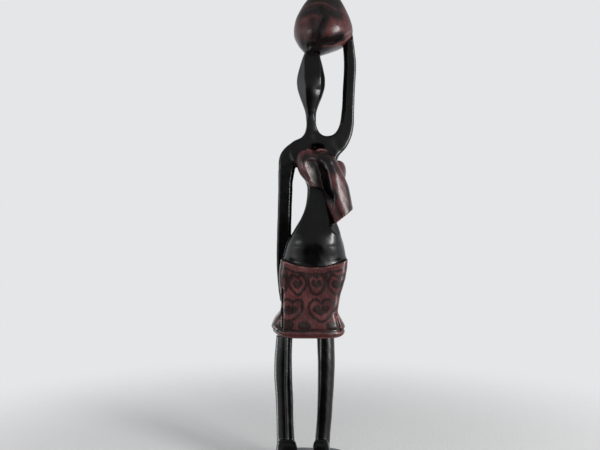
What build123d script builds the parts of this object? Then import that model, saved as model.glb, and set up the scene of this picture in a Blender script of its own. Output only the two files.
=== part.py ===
"""Carved standing woman with a gourd on her head: an ebonised hardwood figure in pegged sections.

Millimetres, +Z up. The origin is the centre of the plinth's underside and the figure faces -Y, so
her own right side is towards -X. Every section meets the next on a cut face, and a round peg in two
blind holes holds each joint.
"""

from build123d import *
import os

# ---- driving dimensions ---------------------------------------------------------------------
PLINTH_WIDTH = 64.0
PLINTH_DEPTH = 56.0
PLINTH_HEIGHT = 14.0
PLINTH_CORNER = 16.0
PLINTH_EDGE = 2.5  # rounding of the plinth's top rim

HEM_Z = 114.5  # flat underside of the skirt, which the legs butt against
WAIST_X = 5.0  # middle of the waistline
WAIST_Z = 171.5  # the waistline's lowest height, at the front and at the back
WAIST_RADIUS = 58.0  # the waistline sags round a cylinder of this radius that lies along Y
WAIST_TOP = 186.0  # above the highest end of the waistline

LIMB_EASE = 0.8  # corner radius of a carved section, as a share of its smaller half size
PLANK_EASE = 0.62  # the same for the trunk and skirt, which keep more of the squared log

PEG_RADIUS = 2.0
SLIM_PEG_RADIUS = 1.25
PEG_GAP = 0.03  # glue room round a peg and past both its ends
PEG_BEVEL = 0.4

# Stations up a carved form: (z, x middle, half width, y middle, half depth).
HEAD = [
    (347.0, 3.2, 5.4, -0.5, 5.2),
    (340.0, 2.8, 7.6, -0.8, 8.0),
    (332.0, 2.5, 9.8, -1.0, 10.6),
    (324.0, 2.3, 11.4, -1.0, 12.4),
    (317.0, 2.4, 11.2, -0.8, 12.2),
    (310.0, 2.4, 9.2, -0.4, 10.2),
    (303.0, 2.3, 6.5, 0.2, 7.4),
    (297.0, 2.3, 4.6, 0.6, 5.4),
    (290.0, 2.5, 4.0, 0.6, 4.6),
    (284.0, 2.9, 4.6, 0.4, 5.0),
    (277.0, 3.8, 7.6, 0.2, 6.2),
    (270.0, 5.0, 12.0, 0.0, 7.4),
]
TRUNK = [
    (271.0, 4.0, 13.5, 0.0, 6.6),
    (263.0, 5.6, 17.2, 0.0, 8.6),
    (254.0, 7.0, 16.6, 0.0, 9.2),
    (246.0, 8.8, 13.6, 0.0, 8.8),
    (237.0, 9.4, 10.4, 0.0, 8.1),
    (228.0, 8.9, 9.9, 0.0, 7.8),
    (219.0, 8.5, 11.0, -0.2, 8.6),
    (211.0, 8.2, 13.8, -0.6, 10.6),
    (203.0, 7.6, 17.4, -0.8, 14.2),
    (195.5, 6.6, 20.8, -0.8, 18.0),
    (188.0, 6.0, 23.6, -0.2, 19.2),
    (180.0, 5.7, 25.4, 0.6, 18.8),
    (173.0, 5.2, 26.4, 0.9, 17.9),
    (167.0, 4.6, 26.4, 1.0, 17.6),
]
SKIRT = [
    (183.0, 5.4, 26.6, 0.5, 18.6),
    (173.0, 4.5, 27.1, 0.5, 18.4),
    (164.0, 3.4, 27.0, 0.5, 18.0),
    (156.0, 2.5, 25.6, 0.4, 17.4),
    (148.0, 1.8, 24.0, 0.2, 16.8),
    (140.0, 1.2, 23.2, 0.0, 16.5),
    (134.5, 0.6, 23.7, 0.0, 16.5),
    (129.0, -0.2, 27.0, 0.0, 16.8),
    (123.5, 0.0, 29.8, 0.0, 17.2),
    (118.5, 0.8, 29.4, 0.0, 17.4),
    (HEM_Z, 2.0, 25.4, 0.0, 16.6),
]
RIGHT_SHANK = [
    (HEM_Z, -19.2, 6.7, 1.0, 7.4),
    (104.0, -20.0, 6.9, 1.2, 7.4),
    (92.0, -20.5, 7.3, 1.6, 7.6),
    (78.0, -20.3, 7.4, 2.0, 7.8),
    (62.0, -19.4, 7.2, 1.8, 7.2),
    (46.0, -19.0, 7.0, 1.4, 6.6),
    (30.0, -18.4, 7.3, 1.2, 6.8),
    (PLINTH_HEIGHT, -17.6, 8.4, 1.0, 8.0),
]
LEFT_SHANK = [
    (HEM_Z, 14.2, 7.1, 1.0, 7.4),
    (104.0, 14.7, 7.1, 1.2, 7.4),
    (92.0, 15.0, 7.0, 1.6, 7.6),
    (78.0, 14.8, 6.8, 2.0, 7.6),
    (62.0, 14.2, 6.4, 1.8, 7.0),
    (46.0, 13.4, 6.1, 1.4, 6.4),
    (30.0, 12.0, 6.1, 1.2, 6.6),
    (PLINTH_HEIGHT, 11.0, 6.8, 1.0, 7.8),
]
GOURD = [
    (344.5, 4.6, 6.4, -0.5, 8.4),
    (348.0, 8.0, 12.4, 0.0, 14.0),
    (352.5, 11.2, 19.2, 0.0, 19.2),
    (359.0, 12.4, 23.6, 0.0, 22.6),
    (366.0, 12.4, 23.9, 0.0, 23.0),
    (374.0, 12.2, 21.8, 0.0, 21.0),
    (382.0, 12.4, 18.0, 0.0, 17.6),
    (390.0, 13.0, 13.0, 0.0, 13.0),
    (398.0, 13.6, 8.0, 0.0, 8.2),
    (405.0, 14.0, 3.9, 0.0, 4.0),
    (410.0, 14.2, 1.2, 0.0, 1.2),
]

# Stations of a foot from heel to toe: (y, x middle, half width, height above the plinth).
RIGHT_FOOT = [
    (10.0, -17.0, 7.8, 9.0),
    (3.0, -16.8, 8.8, 14.0),
    (-6.0, -16.4, 9.4, 16.4),
    (-10.0, -16.2, 9.6, 15.4),
    (-15.0, -16.2, 9.6, 11.0),
    (-21.0, -16.8, 9.0, 7.6),
    (-26.0, -17.4, 7.4, 5.4),
]
LEFT_FOOT = [
    (10.0, 10.8, 6.2, 9.0),
    (3.0, 10.6, 6.8, 14.0),
    (-6.0, 10.4, 7.0, 16.4),
    (-10.0, 10.5, 7.2, 15.4),
    (-15.0, 10.8, 7.2, 11.0),
    (-21.0, 11.4, 6.8, 7.6),
    (-26.0, 12.0, 5.6, 5.4),
]

# Stations of an arm from its shoulder out, bending in XZ: (x, z, half width, y, half depth).
RIGHT_ARM = [
    (1.0, 269.5, 7.0, 0.0, 6.4),
    (-8.0, 266.5, 7.4, 0.0, 6.4),
    (-15.0, 259.5, 8.2, 0.4, 6.2),
    (-17.6, 249.0, 6.8, 1.2, 6.0),
    (-18.4, 236.0, 6.1, 2.4, 5.8),
    (-19.3, 214.0, 5.8, 4.6, 5.6),
    (-19.9, 192.0, 5.9, 7.0, 5.6),
    (-20.4, 172.0, 5.6, 9.0, 5.4),
    (-21.2, 154.0, 3.6, 9.6, 4.0),
    (-21.8, 142.5, 1.4, 9.4, 1.8),
]
LEFT_ARM = [
    (3.0, 269.0, 7.4, 0.0, 6.6),
    (12.0, 268.4, 8.6, 0.0, 6.6),
    (21.0, 270.0, 8.6, 0.0, 6.4),
    (27.6, 276.0, 7.0, 0.0, 6.2),
    (31.4, 286.0, 5.8, 0.0, 5.8),
    (32.6, 300.0, 5.0, 0.0, 5.4),
    (33.4, 318.0, 4.9, 0.0, 5.2),
    (34.3, 334.0, 4.9, 0.0, 5.2),
    (33.6, 346.0, 4.6, 0.0, 5.4),
    (32.0, 358.0, 3.8, 0.0, 5.0),
]

# The shawl's cloth across the chest, in the same form: a short fold over her right breast, a long
# one that falls to her left hip and ends in a slanting cut, the cloth over the shoulder between
# them, and the web that closes them below.
SHORT_FOLD = [
    (0.4, 264.0, 3.6, -7.0, 7.2),
    (-1.4, 259.6, 7.8, -7.6, 9.0),
    (0.2, 252.0, 8.8, -7.8, 9.6),
    (4.2, 244.0, 7.4, -7.8, 9.2),
    (6.6, 239.0, 5.4, -7.6, 8.4),
]
LONG_FOLD = [
    (10.0, 262.0, 4.0, -6.8, 7.0),
    (15.4, 256.4, 6.6, -8.0, 9.0),
    (20.2, 246.0, 7.4, -9.2, 10.0),
    (23.8, 233.6, 9.0, -9.6, 10.2),
    (27.0, 222.0, 8.6, -9.4, 9.6),
    (30.4, 208.0, 7.4, -9.0, 8.4),
]
SHOULDER_FOLD = [
    (-3.0, 259.4, 4.6, -7.0, 7.4),
    (3.0, 259.6, 5.0, -7.6, 8.0),
    (10.0, 257.6, 5.4, -7.8, 8.2),
    (16.0, 254.6, 5.0, -8.2, 8.6),
]
WEB = [
    (3.4, 239.2, 3.0, -7.6, 7.6),
    (9.0, 237.0, 3.8, -8.0, 7.6),
    (14.6, 232.6, 4.0, -8.4, 7.2),
    (18.6, 226.0, 4.0, -8.8, 7.2),
]
FOLD_CUT = [(44.0, 224.5), (34.6, 216.6), (23.8, 207.6), (14.4, 199.7)]
FOLD_CUT_FLOOR = 190.0  # below the lowest corner of the long fold
# the plain turn of cloth round her back
WRAP = [
    (257.5, 10.4, 18.2, 0.5, 11.2),
    (252.0, 11.2, 19.6, 0.5, 12.8),
    (246.0, 12.3, 18.6, 0.5, 12.6),
    (240.0, 14.6, 14.8, 0.5, 11.0),
]
DISH_MIDDLE = (-2.2, -21.0, 251.0)  # the scoop in the shawl's short fold
DISH_RADIUS = 8.5

# The flat of the face in YZ, from the chin out to the brow and back to the crown.
FACE_PLANES = [(-6.9, 302.0), (-12.3, 325.0), (-7.0, 344.0)]
FACE_FRONT_Y = -30.0
FACE_HALF_WIDTH = 14.0

# how far the cutting blocks reach past the figure
BLOCK_WIDTH = 120.0
BLOCK_HEIGHT = 90.0
BLOCK_HALF_DEPTH = 40.0


def section(half_width, half_depth, ease):
    """One carved section: a rectangle with well-rounded corners."""
    RectangleRounded(
        2 * half_width, 2 * half_depth, ease * min(half_width, half_depth)
    )


def carve(stations, ease):
    """A form lofted through level sections, added to the part being built."""
    sections = []
    for z, x, half_width, y, half_depth in stations:
        with BuildSketch(Plane((x, y, z))) as cut:
            section(half_width, half_depth, ease)
        sections.append(cut.sketch)
    loft(sections)


def carve_limb(stations):
    """A limb lofted through sections square to its path, added to the part being built."""
    sections = []
    last = len(stations) - 1
    for i, (x, z, half_width, y, half_depth) in enumerate(stations):
        x_before, z_before = stations[max(i - 1, 0)][:2]
        x_after, z_after = stations[min(i + 1, last)][:2]
        run = Vector(x_after - x_before, 0, z_after - z_before)
        across = Vector(-run.Z, 0, run.X)
        with BuildSketch(Plane(origin=(x, y, z), x_dir=across, z_dir=run)) as cut:
            section(half_width, half_depth, LIMB_EASE)
        sections.append(cut.sketch)
    loft(sections)


def carve_foot(stations):
    """A foot lofted from heel to toe, its lower half left below the plinth's top to be cut off."""
    sections = []
    for y, x, half_width, height in stations:
        upright = Plane(origin=(x, y, PLINTH_HEIGHT), x_dir=(1, 0, 0), z_dir=(0, -1, 0))
        with BuildSketch(upright) as cut:
            section(half_width, height, LIMB_EASE)
        sections.append(cut.sketch)
    loft(sections)


def pegs(spots, radius, length, turn=(0, 0, 0)):
    """Round pegs with bevelled ends, centred on the spots."""
    with Locations(*spots):
        Cylinder(radius, length, rotation=turn)
    chamfer(edges().filter_by(GeomType.CIRCLE), PEG_BEVEL)


def peg_holes(spots, radius, length, turn=(0, 0, 0)):
    """The holes for those pegs, cut from the part being built."""
    with Locations(*spots):
        Cylinder(radius + PEG_GAP, length + 2 * PEG_GAP, rotation=turn, mode=Mode.SUBTRACT)


# ---- where the pegs go: the middle of each peg, then its length -------------------------------
FOOT_PEG_SPOTS = [(-17.0, 0.0, PLINTH_HEIGHT), (11.0, 0.0, PLINTH_HEIGHT)]
FOOT_PEG_LENGTH = 16.0
LEG_PEG_SPOTS = [(-19.2, 1.0, HEM_Z), (14.2, 1.0, HEM_Z)]
LEG_PEG_LENGTH = 18.0
WAIST_PEG_SPOTS = [(WAIST_X, 0.5, WAIST_Z)]
WAIST_PEG_LENGTH = 30.0
WAIST_PEG_RADIUS = 3.0
SHAWL_PEG_SPOTS = [(1.0, -8.4, 259.0), (13.5, -8.4, 250.0)]
SHAWL_PEG_LENGTH = 8.0
CROWN_PEG_SPOTS = [(4.0, -0.5, 345.0)]
CROWN_PEG_LENGTH = 16.0
HAND_PEG_SPOTS = [(32.2, 0.0, 353.0)]
HAND_PEG_LENGTH = 12.0
ALONG_Y = (90, 0, 0)


# ---- gourd carried on the head ----------------------------------------------------------------
with BuildPart() as gourd:
    for z, x, half_width, y, half_depth in GOURD:
        with BuildSketch(Plane((x, y, z))):
            Ellipse(half_width, half_depth)
    loft()
    peg_holes(CROWN_PEG_SPOTS, PEG_RADIUS, CROWN_PEG_LENGTH)
    peg_holes(HAND_PEG_SPOTS, SLIM_PEG_RADIUS, HAND_PEG_LENGTH)
gourd.part.label = "head_gourd"

# ---- body: head, neck, both arms and trunk, carved from one billet ------------------------------
with BuildPart() as waist_block:
    # what lies below the sagging waistline and belongs to the skirt
    with BuildSketch(Plane.XZ) as below_waist:
        with Locations((WAIST_X, WAIST_TOP)):
            Rectangle(BLOCK_WIDTH, BLOCK_HEIGHT, align=(Align.CENTER, Align.MAX))
        with Locations((WAIST_X, WAIST_Z + WAIST_RADIUS)):
            Circle(WAIST_RADIUS, mode=Mode.SUBTRACT)
    extrude(amount=BLOCK_HALF_DEPTH, both=True)

with BuildPart() as body:
    carve(TRUNK, PLANK_EASE)
    add(waist_block.part, mode=Mode.SUBTRACT)
    carve(HEAD, LIMB_EASE)
    with BuildSketch(Plane.YZ):
        with BuildLine():
            flat = Polyline(*FACE_PLANES)
            out_from_crown = (FACE_FRONT_Y, FACE_PLANES[-1][1])
            out_from_chin = (FACE_FRONT_Y, FACE_PLANES[0][1])
            Polyline(flat @ 1, out_from_crown, out_from_chin, flat @ 0)
        make_face()
    extrude(amount=FACE_HALF_WIDTH, both=True, mode=Mode.SUBTRACT)
    for arm in (RIGHT_ARM, LEFT_ARM):
        carve_limb(arm)
    add(gourd.part, mode=Mode.SUBTRACT)
    peg_holes(CROWN_PEG_SPOTS, PEG_RADIUS, CROWN_PEG_LENGTH)
    peg_holes(HAND_PEG_SPOTS, SLIM_PEG_RADIUS, HAND_PEG_LENGTH)
    peg_holes(WAIST_PEG_SPOTS, WAIST_PEG_RADIUS, WAIST_PEG_LENGTH)
    peg_holes(SHAWL_PEG_SPOTS, SLIM_PEG_RADIUS, SHAWL_PEG_LENGTH, ALONG_Y)
body.part.label = "body"

# ---- skirt ----------------------------------------------------------------------------------
with BuildPart() as skirt:
    carve(SKIRT, PLANK_EASE)
    add(waist_block.part, mode=Mode.INTERSECT)
    add(body.part, mode=Mode.SUBTRACT)
    peg_holes(WAIST_PEG_SPOTS, WAIST_PEG_RADIUS, WAIST_PEG_LENGTH)
    peg_holes(LEG_PEG_SPOTS, PEG_RADIUS, LEG_PEG_LENGTH)
skirt.part.label = "skirt"

# ---- legs, each with its foot -----------------------------------------------------------------
legs = {}
for side, shank, foot in (("right", RIGHT_SHANK, RIGHT_FOOT), ("left", LEFT_SHANK, LEFT_FOOT)):
    with BuildPart() as leg:
        carve(shank, LIMB_EASE)
        carve_foot(foot)
        split(bisect_by=Plane.XY.offset(PLINTH_HEIGHT), keep=Keep.TOP)
        peg_holes(FOOT_PEG_SPOTS, PEG_RADIUS, FOOT_PEG_LENGTH)
        peg_holes(LEG_PEG_SPOTS, PEG_RADIUS, LEG_PEG_LENGTH)
    leg.part.label = side + "_leg"
    legs[leg.part.label] = leg.part

# ---- shawl: two folds across the chest and a plain turn round the back --------------------------
with BuildPart() as shawl:
    carve_limb(LONG_FOLD)
    with BuildSketch(Plane.XZ):
        with BuildLine():
            slant = Polyline(*FOLD_CUT)
            below_inner_end = (FOLD_CUT[-1][0], FOLD_CUT_FLOOR)
            below_outer_end = (FOLD_CUT[0][0], FOLD_CUT_FLOOR)
            Polyline(slant @ 1, below_inner_end, below_outer_end, slant @ 0)
        make_face()
    extrude(amount=BLOCK_HALF_DEPTH, both=True, mode=Mode.SUBTRACT)
    for fold in (SHORT_FOLD, SHOULDER_FOLD, WEB):
        carve_limb(fold)
    carve(WRAP, LIMB_EASE)
    with Locations(DISH_MIDDLE):
        Sphere(DISH_RADIUS, mode=Mode.SUBTRACT)
    add(body.part, mode=Mode.SUBTRACT)
    peg_holes(SHAWL_PEG_SPOTS, SLIM_PEG_RADIUS, SHAWL_PEG_LENGTH, ALONG_Y)
shawl.part.label = "shawl"

# ---- plinth -------------------------------------------------------------------------------------
with BuildPart() as plinth:
    with BuildSketch():
        RectangleRounded(PLINTH_WIDTH, PLINTH_DEPTH, PLINTH_CORNER)
    extrude(amount=PLINTH_HEIGHT)
    fillet(edges().group_by(Axis.Z)[-1], PLINTH_EDGE)
    peg_holes(FOOT_PEG_SPOTS, PEG_RADIUS, FOOT_PEG_LENGTH)
plinth.part.label = "plinth"

# ---- pegs ---------------------------------------------------------------------------------------
with BuildPart() as foot_pegs:
    pegs(FOOT_PEG_SPOTS, PEG_RADIUS, FOOT_PEG_LENGTH)
foot_pegs.part.label = "foot_pegs"

with BuildPart() as leg_pegs:
    pegs(LEG_PEG_SPOTS, PEG_RADIUS, LEG_PEG_LENGTH)
leg_pegs.part.label = "leg_pegs"

with BuildPart() as waist_peg:
    pegs(WAIST_PEG_SPOTS, WAIST_PEG_RADIUS, WAIST_PEG_LENGTH)
waist_peg.part.label = "waist_peg"

with BuildPart() as shawl_pegs:
    pegs(SHAWL_PEG_SPOTS, SLIM_PEG_RADIUS, SHAWL_PEG_LENGTH, ALONG_Y)
shawl_pegs.part.label = "shawl_pegs"

with BuildPart() as crown_peg:
    pegs(CROWN_PEG_SPOTS, PEG_RADIUS, CROWN_PEG_LENGTH)
crown_peg.part.label = "crown_peg"

with BuildPart() as hand_peg:
    pegs(HAND_PEG_SPOTS, SLIM_PEG_RADIUS, HAND_PEG_LENGTH)
hand_peg.part.label = "hand_peg"

# ---- write every piece --------------------------------------------------------------------------
os.makedirs("parts", exist_ok=True)
export_step(plinth.part, "parts/plinth.step")
export_step(legs["right_leg"], "parts/right_leg.step")
export_step(legs["left_leg"], "parts/left_leg.step")
export_step(skirt.part, "parts/skirt.step")
export_step(body.part, "parts/body.step")
export_step(shawl.part, "parts/shawl.step")
export_step(gourd.part, "parts/head_gourd.step")
export_step(foot_pegs.part, "parts/foot_pegs.step")
export_step(leg_pegs.part, "parts/leg_pegs.step")
export_step(waist_peg.part, "parts/waist_peg.step")
export_step(shawl_pegs.part, "parts/shawl_pegs.step")
export_step(crown_peg.part, "parts/crown_peg.step")
export_step(hand_peg.part, "parts/hand_peg.step")
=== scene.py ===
"""Looks for the carved woman: every wooden section is carved again as a smooth solid, with its
creases, folds and rims in the mesh, and gets a polished, stained or inked wood material.

Each piece is a carving field: a function of position that is negative inside the wood. Stations
like those of the CAD sections give the main forms, in millimetres in the CAD frame. She faces -Y,
so her own right side is towards -X.
"""

import math

import bpy
import numpy as np
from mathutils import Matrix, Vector


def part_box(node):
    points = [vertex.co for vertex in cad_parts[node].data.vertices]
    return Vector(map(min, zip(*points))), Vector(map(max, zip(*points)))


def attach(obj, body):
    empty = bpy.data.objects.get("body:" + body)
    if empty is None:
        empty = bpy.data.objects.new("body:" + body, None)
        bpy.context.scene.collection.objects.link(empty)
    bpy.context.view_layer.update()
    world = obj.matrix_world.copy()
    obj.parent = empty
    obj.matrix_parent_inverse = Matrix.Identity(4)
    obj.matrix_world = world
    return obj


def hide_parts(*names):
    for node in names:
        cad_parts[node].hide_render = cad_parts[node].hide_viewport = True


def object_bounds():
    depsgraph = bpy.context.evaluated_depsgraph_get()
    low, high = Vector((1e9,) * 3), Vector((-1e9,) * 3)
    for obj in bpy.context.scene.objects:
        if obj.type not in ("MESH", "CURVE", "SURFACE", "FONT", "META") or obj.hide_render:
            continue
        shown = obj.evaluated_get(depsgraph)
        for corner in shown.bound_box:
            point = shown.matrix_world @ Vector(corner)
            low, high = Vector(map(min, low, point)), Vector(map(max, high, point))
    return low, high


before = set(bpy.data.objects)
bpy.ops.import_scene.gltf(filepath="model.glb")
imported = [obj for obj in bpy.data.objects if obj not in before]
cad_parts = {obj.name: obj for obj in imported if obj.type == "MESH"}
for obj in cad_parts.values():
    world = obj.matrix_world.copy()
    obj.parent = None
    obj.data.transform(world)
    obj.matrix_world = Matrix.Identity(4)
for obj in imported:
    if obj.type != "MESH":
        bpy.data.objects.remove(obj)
cad_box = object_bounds()

MM = 0.001  # carving fields are in millimetres, objects in metres
CELL = 0.55  # step of the carving grid


def millimetres(node):
    """A CAD node's lowest and highest corners in millimetres."""
    low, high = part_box(node)
    return np.array(low) / MM, np.array(high) / MM


PLINTH_HALF_X, PLINTH_HALF_Y, PLINTH_TOP = millimetres("plinth")[1]
HEM_Z = millimetres("skirt")[0][2]
GOURD_TOP = millimetres("head_gourd")[1][2]
# the waistline sags round a cylinder that lies along Y
WAIST_X, WAIST_Z, WAIST_RADIUS = 5.0, 171.5, 58.0

# ---- stations: (height, x middle, half width, y middle, half depth) ---------------------------
HEAD = [
    (347.0, 3.2, 5.4, -0.5, 5.2),
    (340.0, 2.8, 7.6, -0.8, 8.0),
    (332.0, 2.5, 9.8, -1.0, 10.6),
    (324.0, 2.3, 11.4, -1.0, 12.4),
    (317.0, 2.4, 11.2, -0.8, 12.2),
    (310.0, 2.4, 9.2, -0.4, 10.2),
    (303.0, 2.3, 6.5, 0.2, 7.4),
    (297.0, 2.3, 4.6, 0.6, 5.4),
    (290.0, 2.5, 4.0, 0.6, 4.6),
    (284.0, 2.9, 4.6, 0.4, 5.0),
    (277.0, 3.8, 7.6, 0.2, 6.2),
    (270.0, 5.0, 12.0, 0.0, 7.4),
]
TRUNK = [
    (271.0, 4.0, 13.5, 0.0, 6.6),
    (263.0, 5.6, 17.2, 0.0, 8.6),
    (254.0, 7.0, 16.6, 0.0, 9.2),
    (246.0, 8.8, 13.6, 0.0, 8.8),
    (237.0, 9.4, 10.4, 0.0, 8.1),
    (228.0, 8.9, 9.9, 0.0, 7.8),
    (219.0, 8.5, 11.0, -0.2, 8.6),
    (211.0, 8.2, 13.8, -0.6, 10.6),
    (203.0, 7.4, 17.6, -0.8, 14.6),
    (196.0, 6.4, 20.6, -0.8, 17.9),
    (189.0, 5.8, 23.3, -0.2, 19.3),
    (180.0, 5.5, 25.4, 0.6, 18.5),
    (173.0, 5.2, 26.4, 0.9, 17.9),
    (167.0, 4.6, 26.4, 1.0, 17.6),
]
SKIRT = [
    (183.0, 5.4, 26.6, 0.5, 18.6),
    (173.0, 4.5, 27.1, 0.5, 18.4),
    (164.0, 3.4, 27.0, 0.5, 18.0),
    (156.0, 2.5, 25.6, 0.4, 17.4),
    (148.0, 1.8, 24.0, 0.2, 16.8),
    (140.0, 1.2, 23.2, 0.0, 16.5),
    (134.5, 0.6, 23.7, 0.0, 16.5),
    (129.0, -0.2, 27.0, 0.0, 16.8),
    (123.5, 0.0, 29.8, 0.0, 17.2),
    (120.5, 0.3, 29.8, 0.0, 17.4),
    (117.8, 1.2, 28.4, 0.0, 17.4),
    (115.8, 2.0, 26.0, 0.0, 17.0),
    (114.5, 2.4, 23.4, 0.0, 16.4),
]
# the groove down the edge of the skirt's front panel, as points in XZ
PANEL_EDGE = [(-20.4, 154.0), (-20.8, 122.0)]
RIGHT_SHANK = [
    (118.0, -19.0, 6.7, 1.0, 7.4),
    (104.0, -20.0, 6.9, 1.2, 7.4),
    (92.0, -20.5, 7.3, 1.6, 7.6),
    (78.0, -20.3, 7.4, 2.0, 7.8),
    (62.0, -19.4, 7.2, 1.8, 7.2),
    (46.0, -19.0, 7.0, 1.4, 6.6),
    (30.0, -18.4, 7.3, 1.2, 6.8),
    (14.0, -17.6, 8.4, 1.0, 8.0),
]
LEFT_SHANK = [
    (118.0, 14.2, 7.1, 1.0, 7.4),
    (104.0, 14.7, 7.1, 1.2, 7.4),
    (92.0, 15.0, 7.0, 1.6, 7.6),
    (78.0, 14.8, 6.8, 2.0, 7.6),
    (62.0, 14.2, 6.4, 1.8, 7.0),
    (46.0, 13.4, 6.1, 1.4, 6.4),
    (30.0, 12.0, 6.1, 1.2, 6.6),
    (14.0, 11.0, 6.8, 1.0, 7.8),
]
GOURD = [
    (344.0, 4.4, 5.4, -0.5, 7.4),
    (348.0, 8.0, 12.4, 0.0, 14.0),
    (352.5, 11.2, 19.2, 0.0, 19.8),
    (359.0, 12.4, 23.6, 0.0, 22.8),
    (366.0, 12.4, 23.9, 0.0, 22.2),
    (374.0, 12.2, 21.8, 0.0, 19.6),
    (382.0, 12.4, 18.0, 0.0, 16.2),
    (390.0, 13.0, 13.0, 0.0, 13.0),
    (398.0, 13.6, 8.0, 0.0, 8.2),
    (405.0, 14.0, 3.9, 0.0, 4.0),
    (410.0, 14.2, 1.2, 0.0, 1.2),
]
# the carved face plane in front of the head: (height, left edge, right edge, y of its middle)
FACE = [
    (346.0, -1.0, 7.6, -7.2),
    (340.0, -2.9, 9.8, -9.0),
    (332.0, -3.1, 10.5, -11.2),
    (326.0, -3.1, 10.6, -12.8),
    (321.0, -3.0, 10.4, -13.7),
    (316.0, -2.7, 9.9, -13.0),
    (310.0, -2.2, 9.0, -11.2),
    (304.0, -1.8, 7.4, -8.8),
    (298.0, -0.8, 6.1, -6.4),
    (292.0, -0.9, 5.8, -4.8),
    (284.0, -3.4, 9.4, -5.8),
    (276.0, -9.0, 16.0, -7.4),
]
WRAP = [
    (257.5, 10.4, 18.2, 0.5, 11.2),
    (252.0, 11.2, 19.6, 0.5, 12.8),
    (246.0, 12.3, 18.6, 0.5, 12.6),
    (240.0, 14.6, 14.8, 0.5, 11.0),
]

# ---- feet, heel to toe: (forward, x middle, half width, middle, height above the plinth) --------
RIGHT_FOOT = [
    (-10.0, -17.4, 7.8, 0.0, 9.0),
    (-3.0, -17.4, 8.4, 0.0, 13.0),
    (5.0, -17.4, 8.8, 0.0, 17.0),
    (8.0, -17.2, 9.2, 0.0, 15.6),
    (12.0, -16.8, 9.8, 0.0, 12.4),
    (18.0, -16.6, 9.8, 0.0, 9.0),
    (26.0, -17.0, 8.4, 0.0, 5.4),
]
LEFT_FOOT = [
    (-10.0, 10.8, 6.2, 0.0, 9.0),
    (-3.0, 10.6, 6.8, 0.0, 13.0),
    (5.0, 10.4, 7.0, 0.0, 17.0),
    (8.0, 10.5, 7.2, 0.0, 15.6),
    (12.0, 10.8, 7.4, 0.0, 12.4),
    (18.0, 11.0, 7.2, 0.0, 9.0),
    (26.0, 11.6, 6.2, 0.0, 5.4),
]

# where the shin's ridge runs: heights, then x
RIGHT_SHIN = ((30.0, 75.0, 112.0), (-16.8, -18.2, -17.6))
LEFT_SHIN = ((30.0, 75.0, 112.0), (6.9, 9.2, 9.4))

# ---- limbs and folds that bend in XZ: (x, z, half width, y middle, half depth) -------------------
RIGHT_ARM = [
    (1.0, 269.5, 7.0, 0.0, 6.4),
    (-8.0, 266.5, 7.4, 0.0, 6.4),
    (-15.0, 259.5, 8.2, 0.4, 6.2),
    (-17.6, 249.0, 6.8, 1.2, 6.0),
    (-18.4, 236.0, 6.1, 2.4, 5.8),
    (-19.3, 214.0, 5.8, 4.6, 5.6),
    (-19.9, 192.0, 5.9, 7.0, 5.6),
    (-20.4, 172.0, 5.6, 9.0, 5.4),
    (-21.2, 154.0, 3.6, 9.6, 4.0),
    (-21.8, 142.5, 1.4, 9.4, 1.8),
]
LEFT_ARM = [
    (3.0, 269.0, 7.4, 0.0, 6.6),
    (12.0, 268.4, 8.6, 0.0, 6.6),
    (21.0, 270.0, 8.6, 0.0, 6.4),
    (27.6, 276.0, 7.0, 0.0, 6.2),
    (31.4, 286.0, 5.8, 0.0, 5.8),
    (32.6, 300.0, 5.0, 0.0, 5.4),
    (33.4, 318.0, 4.9, 0.0, 5.2),
    (34.3, 334.0, 4.9, 0.0, 5.2),
    (33.6, 346.0, 4.6, 0.0, 5.4),
    (32.0, 360.0, 4.4, 0.0, 5.0),
]
SHORT_FOLD = [
    (0.4, 264.0, 3.6, -7.0, 7.2),
    (-1.4, 259.6, 7.8, -7.6, 9.0),
    (0.2, 252.0, 8.8, -7.8, 9.6),
    (4.2, 244.0, 7.4, -7.8, 9.2),
    (6.6, 239.0, 5.4, -7.6, 8.4),
]
LONG_FOLD = [
    (10.0, 262.0, 4.0, -6.8, 7.0),
    (15.0, 256.4, 7.0, -8.0, 9.0),
    (19.2, 246.0, 8.4, -9.2, 10.0),
    (22.2, 233.6, 10.4, -9.6, 10.4),
    (25.4, 222.0, 9.8, -9.4, 10.0),
    (29.4, 208.0, 8.2, -9.0, 8.8),
]
# the cloth that runs over the shoulder between the two folds, and the web that closes them below
SHOULDER_FOLD = [
    (-3.0, 259.4, 4.6, -7.0, 7.4),
    (3.0, 259.6, 5.0, -7.6, 8.0),
    (10.0, 257.6, 5.4, -7.8, 8.2),
    (16.0, 254.6, 5.0, -8.2, 8.6),
]
WEB = [
    (2.6, 240.4, 3.4, -7.6, 8.4),
    (8.0, 238.0, 4.0, -8.0, 8.0),
    (13.6, 236.4, 4.0, -8.4, 7.4),
    (18.0, 232.0, 4.4, -8.8, 7.4),
]
# the flat strap above the folds
STRAP = [
    (5.6, 263.8, 1.3, -6.0, 2.8),
    (9.4, 265.3, 1.4, -6.0, 3.6),
    (14.6, 264.4, 1.4, -6.0, 3.2),
    (18.6, 261.4, 1.2, -6.0, 2.4),
]
# the scoop between the folds: heights, x and y of its bottom, and y of the narrow hollow in it
SCOOP_Z = (225.0, 229.0, 233.0, 240.0, 248.0, 252.0, 256.0, 262.0)
SCOOP_X = (19.4, 17.4, 14.6, 13.2, 12.2, 9.6, 7.6, 6.0)
SCOOP_Y = (-19.0, -15.6, -14.6, -14.2, -14.2, -14.4, -15.6, -19.5)
HOLLOW_Y = (-17.0, -10.6, -8.0, -8.0, -8.4, -12.0, -18.0, -20.0)
# the long fold's cut end, from its outer corner to its inner one
FOLD_CUT = ((34.6, 216.6), (23.8, 207.6))
# where the long fold is worn nearly flat: a point on the flat, the way it faces and its slight curve
WORN_AT = (26.6, -18.8, 229.2)
WORN_FACING = (0.38, -0.92, 0.073)
WORN_RADIUS = 17.0
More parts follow.
